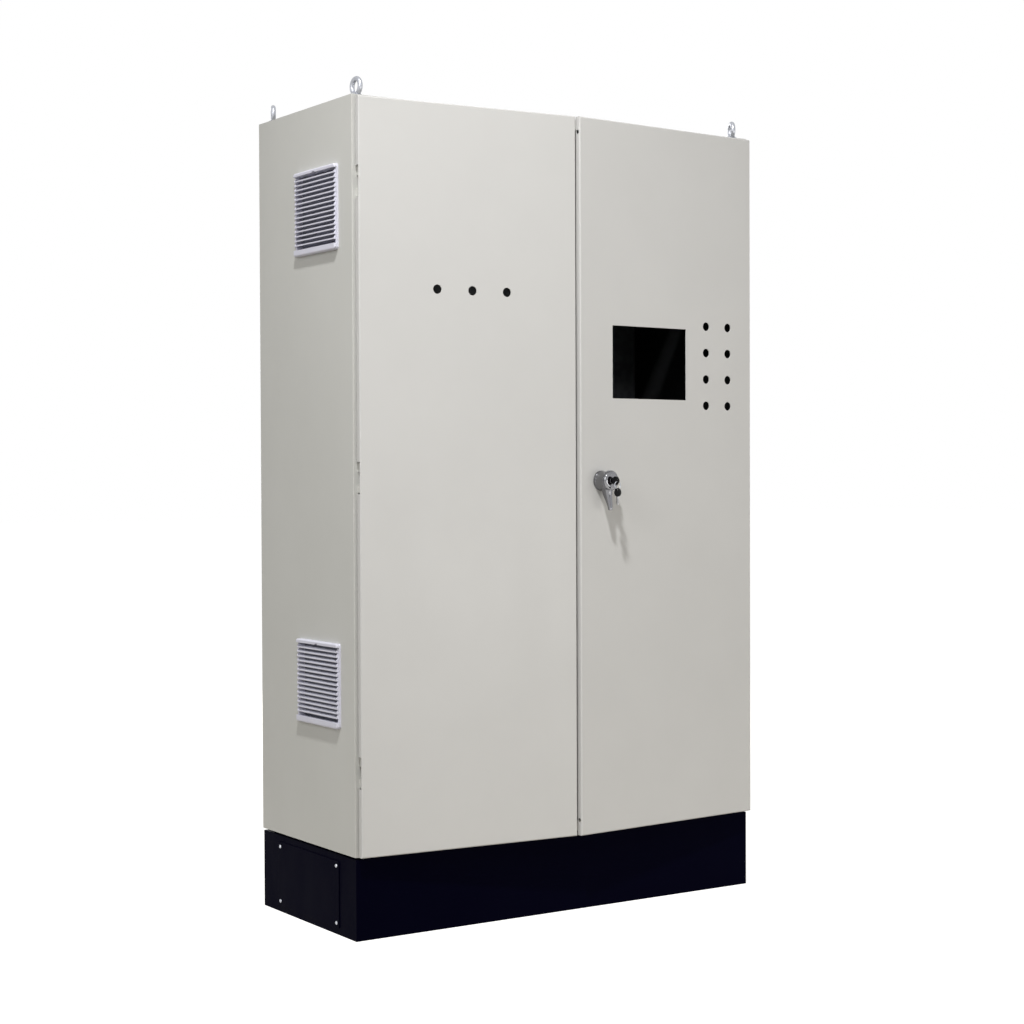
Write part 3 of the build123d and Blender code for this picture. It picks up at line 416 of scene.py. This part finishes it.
finishes = {
    body_coat: "side_panel_left side_panel_right roof_panel floor_panel rear_panel centre_post "
    "rim_left rim_right hinge_body_leaves_left hinge_body_leaves_right",
    door_coat: "left_door right_door hinge_door_leaves_left hinge_door_leaves_right "
    "hinge_pins_left hinge_pins_right",
    plinth_coat: "plinth_frame plinth_cover_left plinth_cover_right plinth_spacers",
    zinc: "plinth_cover_screws plinth_bolts mounting_bolts eye_bolt_front_left eye_bolt_rear_left "
    "eye_bolt_front_right eye_bolt_rear_right eye_bolt_nuts lock_pinion rod_upper rod_lower "
    "door_bolt_upper door_bolt_lower key_ring lock_bridge",
    shaded_galvanised: "gland_plates mounting_plate mounting_brackets door_rails_left door_rails_right",
    grille_plastic: "grille_cover_upper grille_cover_lower grille_housing_upper grille_housing_lower",
    guide_plastic: "rod_guides bolt_guides",
    chrome: "lock_handle lock_cylinder",
    rosette_chrome_darker: "lock_rosette",
    gasket_foam: "gasket_left gasket_right",
    filter_fibre_shaded: "filter_mat_upper filter_mat_lower",
    key_black: "key spare_key",
}
for finish, names in finishes.items():
    for name in names.split():
        nodes[name].data.materials.clear()
        nodes[name].data.materials.append(finish)


# Mesh helpers


def piece(name, shape, finish, body, smooth_below=40):
    """Object at the origin from a finished bmesh, riding on a body."""
    mesh = bpy.data.meshes.new(name)
    shape.to_mesh(mesh)
    shape.free()
    mesh.materials.append(finish)
    mesh.polygons.foreach_set("use_smooth", [True] * len(mesh.polygons))
    mesh.set_sharp_from_angle(angle=radians(smooth_below))
    made = bpy.data.objects.new(name, mesh)
    scene.collection.objects.link(made)
    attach(made, body)
    return made


def turned_about(pivot, angle):
    return Matrix.Translation(pivot) @ Matrix.Rotation(angle, 4, "Z") @ Matrix.Translation(-pivot)


def new_corners(grown):
    """Vertices that an extrusion has added."""
    return [item for item in grown["geom"] if isinstance(item, bmesh.types.BMVert)]


def spun(profile, steps):
    """Closed body of revolution about Z from a profile of radius and height."""
    shape = bmesh.new()
    points = [shape.verts.new((radius, 0, height)) for radius, height in profile]
    lines = [shape.edges.new(pair) for pair in zip(points, points[1:])]
    bmesh.ops.spin(
        shape, geom=points + lines, cent=(0, 0, 0), axis=(0, 0, 1), dvec=(0, 0, 0),
        angle=tau, steps=steps, use_merge=True, use_normal_flip=False, use_duplicate=False,
    )
    bmesh.ops.remove_doubles(shape, verts=shape.verts[:], dist=1e-7)
    bmesh.ops.recalc_face_normals(shape, faces=shape.faces[:])
    return shape


def slice_at(shape, point, normal):
    everything = shape.verts[:] + shape.edges[:] + shape.faces[:]
    bmesh.ops.bisect_plane(shape, geom=everything, dist=1e-8, plane_co=point, plane_no=normal)


head_top_lean = 0.2


def cross_recess(shape, width, length, depth):
    """Sink a cross-shaped driver recess into the top of a screw head."""
    for axis in (Vector((1, 0, 0)), Vector((0, 1, 0))):
        for reach in (-length, -width, width, length):
            slice_at(shape, axis * reach, axis)
    cross = []
    for face in shape.faces:
        middle = face.calc_center_median()
        along, across = sorted((abs(middle.x), abs(middle.y)), reverse=True)
        if face.normal.z > head_top_lean and across < width and along < length:
            cross.append(face)
    grown = bmesh.ops.extrude_face_region(shape, geom=cross)
    bmesh.ops.translate(shape, verts=new_corners(grown), vec=(0, 0, -depth))
    return shape


def repeated(shape, places):
    """One bmesh with a copy of the shape at each place."""
    pattern = bpy.data.meshes.new("pattern")
    shape.to_mesh(pattern)
    shape.free()
    whole = bmesh.new()
    for place in places:
        before = len(whole.verts)
        whole.from_mesh(pattern)
        bmesh.ops.transform(whole, matrix=place, verts=whole.verts[:][before:])
    bpy.data.meshes.remove(pattern)
    return whole


# Screws stand along Z before they are placed, and each is left at its own turn
screw_steps = 28
turn_step = 0.7


def screwed_in(screw, spots):
    """Copies of a screw at spots, each spot a place and a turn that faces outwards."""
    places = []
    for spot, outward in spots:
        turn = Matrix.Rotation(turn_step * len(places), 4, "Z")
        places.append(Matrix.Translation(spot) @ outward @ turn)
    return repeated(screw, places)


# Cover screws: domed heads with a cross recess
cover_head_radius = 4.6 * mm
cover_head_height = 3 * mm
cover_shank_radius = 3 * mm
cover_screw_reach = 8 * mm
cover_face_x = 0.599
cover_screw_y = 0.149
cover_screw_levels = (0.028, 0.166)
dome_steps = 6

dome_angles = [step * pi / (2 * dome_steps) for step in range(dome_steps + 1)]
cover_profile = [(cover_head_radius * sin(angle), cover_head_height * cos(angle)) for angle in dome_angles]
cover_profile += [(cover_shank_radius, 0), (cover_shank_radius, -cover_screw_reach)]
cover_profile += [(0, -cover_screw_reach)]
cover_blank = spun(cover_profile, screw_steps)
cover_screw = cross_recess(cover_blank, width=0.6 * mm, length=2.7 * mm, depth=1.4 * mm)
cover_spots = [
    ((side * cover_face_x, end * cover_screw_y, level), Matrix.Rotation(side * pi / 2, 4, "Y"))
    for side in (-1, 1) for end in (-1, 1) for level in cover_screw_levels
]
cover_screws = piece("cover_screws", screwed_in(cover_screw, cover_spots), zinc, "cabinet")
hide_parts("plinth_cover_screws")


# Rear screws: flush countersunk heads that hold the rear panel
rear_head_radius = 5.2 * mm
rear_head_depth = 1.5 * mm
rear_head_flat = 2.2 * mm
rear_head_chamfer = 0.2 * mm
rear_head_rim = 0.15 * mm
rear_cone_radius = 3.6 * mm
rear_shank_radius = 2.4 * mm
rear_screw_reach = 9 * mm
rear_sunk = 0.1 * mm
rear_inset = 15 * mm
rear_side_shares = (0.02, 0.26, 0.5, 0.74, 0.98)
rear_end_shares = (0.25, 0.5, 0.75)

rear_profile = [
    (0, 0),
    (rear_head_flat, 0),
    (rear_head_radius - rear_head_chamfer, 0),
    (rear_head_radius, -rear_head_rim),
    (rear_cone_radius, -rear_head_depth - rear_head_rim),
    (rear_shank_radius, -rear_head_depth - 2 * rear_head_rim),
    (rear_shank_radius, -rear_screw_reach),
    (0, -rear_screw_reach),
]
rear_blank = spun(rear_profile, screw_steps)
rear_screw = cross_recess(rear_blank, width=0.55 * mm, length=2.6 * mm, depth=1.0 * mm)
rear_side_x = body_half_width - rear_inset
rear_low_z = body_low_z + rear_inset
rear_high_z = body_high_z - rear_inset
rear_corners = [(side * rear_side_x, rear_low_z + share * (rear_high_z - rear_low_z))
                for side in (-1, 1) for share in rear_side_shares]
rear_corners += [((2 * share - 1) * rear_side_x, level)
                 for level in (rear_low_z, rear_high_z) for share in rear_end_shares]
backwards = Matrix.Rotation(-pi / 2, 4, "X")
rear_spots = [((across, rear_face_y - rear_sunk, level), backwards) for across, level in rear_corners]
piece("rear_screws", screwed_in(rear_screw, rear_spots), zinc, "cabinet")


# Keys: a moulded head with a ring hole and a nickelled blade with a groove and cuts
key_head_radius = 10.9 * mm
key_head_half = 3 * mm
key_head_rounding = 1.1 * mm
key_hole_radius = 3.2 * mm
key_hole_offset = 7 * mm
key_head_segments = 48
key_rim_angle = radians(60)
blade_length = 20.5 * mm
blade_half_width = 4 * mm
blade_half_thickness = 1 * mm
blade_root_share = 0.6
blade_tip_share = 0.45
groove_half_width = 0.9 * mm
groove_depth = 0.4 * mm
cut_half_share = 0.05
# Each cut's place as a share of the blade, and its depth
key_cuts = ((0.22, 1.1 * mm), (0.36, 1.9 * mm), (0.50, 0.8 * mm), (0.64, 2.2 * mm), (0.78, 1.4 * mm))


def key_head():
    """Round head with an off-centre ring hole."""
    shape = bmesh.new()
    outer, inner = (
        bmesh.ops.create_circle(shape, cap_ends=False, radius=radius, segments=key_head_segments)["verts"]
        for radius in (key_head_radius, key_hole_radius)
    )
    bmesh.ops.translate(shape, verts=inner, vec=(key_hole_offset, 0, 0))
    bmesh.ops.translate(shape, verts=outer + inner, vec=(0, 0, -key_head_half))
    sheet = bmesh.ops.bridge_loops(shape, edges=shape.edges[:])["faces"]
    grown = bmesh.ops.extrude_face_region(shape, geom=sheet, use_keep_orig=True)
    bmesh.ops.translate(shape, verts=new_corners(grown), vec=(0, 0, 2 * key_head_half))
    bmesh.ops.recalc_face_normals(shape, faces=shape.faces[:])
    rims = [edge for edge in shape.edges if edge.calc_face_angle(0) > key_rim_angle]
    bmesh.ops.bevel(
        shape, geom=rims, offset=key_head_rounding, affect="EDGES", segments=3, profile=0.5, material=-1
    )
    return shape


def key_blade():
    """Flat blade from inside the head to the tip, with a groove on each side and cuts on one edge."""
    shape = bmesh.new()
    bmesh.ops.create_cube(shape, size=2)
    start = key_head_radius * blade_root_share
    reach = key_head_radius + blade_length
    half = ((reach - start) / 2, blade_half_width, blade_half_thickness)
    bmesh.ops.scale(shape, vec=half, verts=shape.verts[:])
    bmesh.ops.translate(shape, vec=(-(reach + start) / 2, 0, 0), verts=shape.verts[:])
    for share, _ in key_cuts:
        for offset in (-cut_half_share, 0, cut_half_share):
            slice_at(shape, (-(key_head_radius + (share + offset) * blade_length), 0, 0), (1, 0, 0))
    for side in (-1, 1):
        slice_at(shape, (0, side * groove_half_width, 0), (0, 1, 0))
    edge_y = blade_half_width - touching
    for share, depth in key_cuts:
        middle = -(key_head_radius + share * blade_length)
        cut = [v for v in shape.verts if abs(v.co.x - middle) < touching and v.co.y > edge_y]
        bmesh.ops.translate(shape, verts=cut, vec=(0, -depth, 0))
    tip = [v for v in shape.verts if v.co.x < -reach + touching and abs(v.co.y) > edge_y]
    bmesh.ops.scale(shape, vec=(1, blade_tip_share, 1), verts=tip)
    for side in (-1, 1):
        groove = [
            face for face in shape.faces
            if face.normal.z * side > square_on and abs(face.calc_center_median().y) < groove_half_width
        ]
        grown = bmesh.ops.extrude_face_region(shape, geom=groove)
        bmesh.ops.translate(shape, verts=new_corners(grown), vec=(0, 0, -side * groove_depth))
    bmesh.ops.recalc_face_normals(shape, faces=shape.faces[:])
    return shape


right_swing = turned_about(right_hinge, right_ajar)
left_swing = turned_about(left_hinge, left_ajar)
# Lock's own axes: X across the door, Y up, Z out of the door
lock_axes = Matrix(((1, 0, 0, lock_x), (0, 0, -1, door_front_y), (0, 1, 0, lock_z), (0, 0, 0, 1)))
lock_frame = right_swing @ lock_axes
key_out = 56.3 * mm
ring_out = 63.3 * mm
spare_drop = -29 * mm
key_place = lock_frame @ Matrix.Translation((0, 0, key_out)) @ Matrix.Rotation(-pi / 2, 4, "Y")
spare_axes = Matrix(((0, 0, 1, 0), (1, 0, 0, spare_drop), (0, 1, 0, ring_out), (0, 0, 0, 1)))
spare_place = lock_frame @ spare_axes
for node_name, body, place in (
    ("key", "key_in_lock", key_place),
    ("spare_key", "keys_hanging", spare_place),
):
    head = piece(f"{node_name}_head", repeated(key_head(), [place]), key_black, body)
    piece(f"{node_name}_blade", repeated(key_blade(), [place]), key_steel, body)
    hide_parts(node_name)


# Gaskets: foam beads laid round the inside of each door, with a crowned face towards the rim
gasket_inner_x = (0.02825, 0.56775)
gasket_inner_z = (0.23225, 1.96775)
gasket_wall = 10 * mm
gasket_front_y = -0.2593
gasket_outer_radius = 18 * mm
gasket_crown = 4.2 * mm


def gasket(side, swing):
    """Foam frame on the right or left door, side 1 or -1, swung with it."""
    shape = bmesh.new()
    bmesh.ops.create_cube(shape, size=2)
    low_x, high_x = gasket_inner_x[0] - gasket_wall, gasket_inner_x[1] + gasket_wall
    low_z, high_z = gasket_inner_z[0] - gasket_wall, gasket_inner_z[1] + gasket_wall
    half = ((high_x - low_x) / 2, (gasket_front_y - door_inner_y) / 2, (high_z - low_z) / 2)
    middle = (side * (high_x + low_x) / 2, (gasket_front_y + door_inner_y) / 2, (high_z + low_z) / 2)
    bmesh.ops.scale(shape, vec=half, verts=shape.verts[:])
    bmesh.ops.translate(shape, vec=middle, verts=shape.verts[:])
    corners = [e for e in shape.edges if abs(e.verts[0].co.y - e.verts[1].co.y) > touching]
    bmesh.ops.bevel(
        shape, geom=corners, offset=gasket_outer_radius, affect="EDGES", segments=7, profile=0.5,
        material=-1,
    )
    wide = [f for f in shape.faces if abs(f.normal.y) > square_on]
    bmesh.ops.inset_individual(shape, faces=wide, thickness=gasket_wall, use_even_offset=True)
    bmesh.ops.delete(shape, geom=wide, context="FACES")
    open_edges = [e for e in shape.edges if e.is_boundary]
    bmesh.ops.bridge_loops(shape, edges=open_edges)
    bmesh.ops.recalc_face_normals(shape, faces=shape.faces[:])
    crown = [
        e for e in shape.edges
        if min(v.co.y for v in e.verts) > gasket_front_y - touching
        and any(abs(f.normal.y) < edge_on for f in e.link_faces)
    ]
    bmesh.ops.bevel(
        shape, geom=crown, offset=gasket_crown, affect="EDGES", segments=5, profile=0.5, material=-1
    )
    bmesh.ops.transform(shape, matrix=swing, verts=shape.verts[:])
    return shape


for label, side, swing in (("left", -1, left_swing), ("right", 1, right_swing)):
    bead_shape = gasket(side, swing)
    bead = piece(
        f"gasket_bead_{label}", bead_shape, gasket_foam, f"{label}_door", smooth_below=60
    )
    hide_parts(f"gasket_{label}")


# Filter mats: uneven fleece pads behind the louvres, coloured dark grey-blue as painted shade in the slots
def filter_mat(low, high):
    """Pad with an uneven skin that fills the box from its low to its high corner."""
    shape = bmesh.new()
    bmesh.ops.create_cube(shape, size=2)
    bmesh.ops.scale(shape, vec=(high - low) / 2, verts=shape.verts[:])
    bmesh.ops.subdivide_edges(shape, edges=shape.edges[:], cuts=9, use_grid_fill=True)
    bmesh.ops.subdivide_edges(
        shape, edges=shape.edges[:], cuts=1, use_grid_fill=True, fractal=0.35, along_normal=0.8, seed=7
    )
    for _ in range(3):
        bmesh.ops.smooth_vert(
            shape, verts=shape.verts[:], factor=0.5, use_axis_x=True, use_axis_y=True, use_axis_z=True
        )
    most = Vector([max(abs(v.co[axis]) for v in shape.verts) for axis in range(3)])
    fit = [min(1, half / reach) for half, reach in zip((high - low) / 2, most)]
    bmesh.ops.scale(shape, vec=fit, verts=shape.verts[:])
    bmesh.ops.translate(shape, vec=(high + low) / 2, verts=shape.verts[:])
    return shape


for level in ("upper", "lower"):
    low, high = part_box(f"filter_mat_{level}")
    pad = filter_mat(low, high)
    fleece = piece(f"filter_fleece_{level}", pad, filter_fibre_shaded, "cabinet", smooth_below=180)
    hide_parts(f"filter_mat_{level}")


# Studio: pale floor that keeps the cabinet's shadow, a main lamp high on the left,
# and wide fills from the left, low in front and behind
floor_half = 40
floor_z = -0.2 * mm
floor_tint = (0.51, 0.48, 0.42, 1)
glow_tint = (0.98, 0.99, 1, 1)
glow_level = 0.875
ambient_tint = (1, 0.995, 0.985, 1)
ambient_level = 0.33


def background_share(tree):
    """1 where the camera, glass or a reflection looks at the background."""
    path = tree.nodes.new("ShaderNodeLightPath")
    seen = computed(tree, "MAXIMUM", path.outputs["Is Camera Ray"], path.outputs["Is Transmission Ray"])
    return computed(tree, "MAXIMUM", seen, path.outputs["Is Glossy Ray"])


floor_shape = bmesh.new()
bmesh.ops.create_grid(floor_shape, x_segments=1, y_segments=1, size=floor_half)
bmesh.ops.translate(floor_shape, vec=(0, 0, floor_z), verts=floor_shape.verts[:])
floor_mesh = bpy.data.meshes.new("studio_floor")
floor_shape.to_mesh(floor_mesh)
floor_shape.free()
studio_floor = bpy.data.objects.new("studio_floor", floor_mesh)
scene.collection.objects.link(studio_floor)
floor_paper, tree, shader = new_material("floor_paper")
set_inputs(shader, {"Base Color": floor_tint, "Roughness": 1.0, "Specular IOR Level": 0.0})
glow = set_inputs(tree.nodes.new("ShaderNodeEmission"), {"Color": glow_tint})
glow_strength = computed(tree, "MULTIPLY", background_share(tree), glow_level)
tree.links.new(glow_strength, glow.inputs["Strength"])
paper_sum = tree.nodes.new("ShaderNodeAddShader")
tree.links.new(shader.outputs["BSDF"], paper_sum.inputs[0])
tree.links.new(glow.outputs["Emission"], paper_sum.inputs[1])
tree.links.new(paper_sum.outputs["Shader"], tree.nodes["Material Output"].inputs["Surface"])
floor_mesh.materials.append(floor_paper)

world = bpy.data.worlds.new("studio_world")
scene.world = world
world.use_nodes = True
tree = world.node_tree
ambient = set_inputs(tree.nodes["Background"], {"Color": ambient_tint, "Strength": ambient_level})
white = set_inputs(tree.nodes.new("ShaderNodeBackground"), {"Color": (1, 1, 1, 1), "Strength": 1.0})
world_mix = tree.nodes.new("ShaderNodeMixShader")
tree.links.new(background_share(tree), world_mix.inputs["Fac"])
tree.links.new(ambient.outputs["Background"], world_mix.inputs[1])
tree.links.new(white.outputs["Background"], world_mix.inputs[2])
tree.links.new(world_mix.outputs["Shader"], tree.nodes["World Output"].inputs["Surface"])


def lamp(name, kind, energy, place, target, settings):
    """Lamp at a place, with its -Z pointing to a target."""
    data = bpy.data.lights.new(name, kind)
    data.energy = energy
    for setting, value in settings.items():
        setattr(data, setting, value)
    made = bpy.data.objects.new(name, data)
    away = (Vector(place) - Vector(target)).to_track_quat("Z", "Y")
    made.matrix_world = Matrix.Translation(place) @ away.to_matrix().to_4x4()
    scene.collection.objects.link(made)


lamp("main_lamp", "SPOT", energy=670, place=(-1.8, -2.2, 4.79), target=(0.5, -0.25, 0.3),
     settings={"shadow_soft_size": 0.15, "spot_size": radians(55), "spot_blend": 1.0})
lamp("left_fill", "AREA", energy=54, place=(-4.2, -2.2, 3.2), target=(0, 0, 1.4),
     settings={"shape": "RECTANGLE", "size": 2.4, "size_y": 2.0})
lamp("low_front_fill", "AREA", energy=34, place=(1.7, -4.3, 0.7), target=(0.1, -0.2, 0.7),
     settings={"shape": "RECTANGLE", "size": 3.0, "size_y": 1.0, "color": (1, 0.98, 0.94)})
lamp("rear_fill", "AREA", energy=70, place=(0.8, 4.8, 1.8), target=(0, 0.25, 1.1),
     settings={"shape": "RECTANGLE", "size": 3.0, "size_y": 2.4})

# Camera at the photograph's place, nearly level and turned to the left front corner
sensor_width = 36
frame_pixels = 1024
focal_pixels = 1982.0068
camera_place = Vector((-2.84549, -4.35431, 1.10676))
camera_heading = radians(-33.23528)
camera_tilt = radians(88.89418)
camera_roll = radians(-0.21337)

camera_data = bpy.data.cameras.new("camera")
camera_data.sensor_width = sensor_width
camera_data.lens = focal_pixels / frame_pixels * sensor_width
camera_data.clip_end = 200
camera = bpy.data.objects.new("camera", camera_data)
camera_turn = Matrix.Rotation(camera_heading, 4, "Z") @ Matrix.Rotation(camera_tilt, 4, "X")
camera_turn = camera_turn @ Matrix.Rotation(camera_roll, 4, "Z")
camera.matrix_world = Matrix.Translation(camera_place) @ camera_turn
scene.collection.objects.link(camera)
scene.camera = camera
scene.view_settings.view_transform = "Standard"
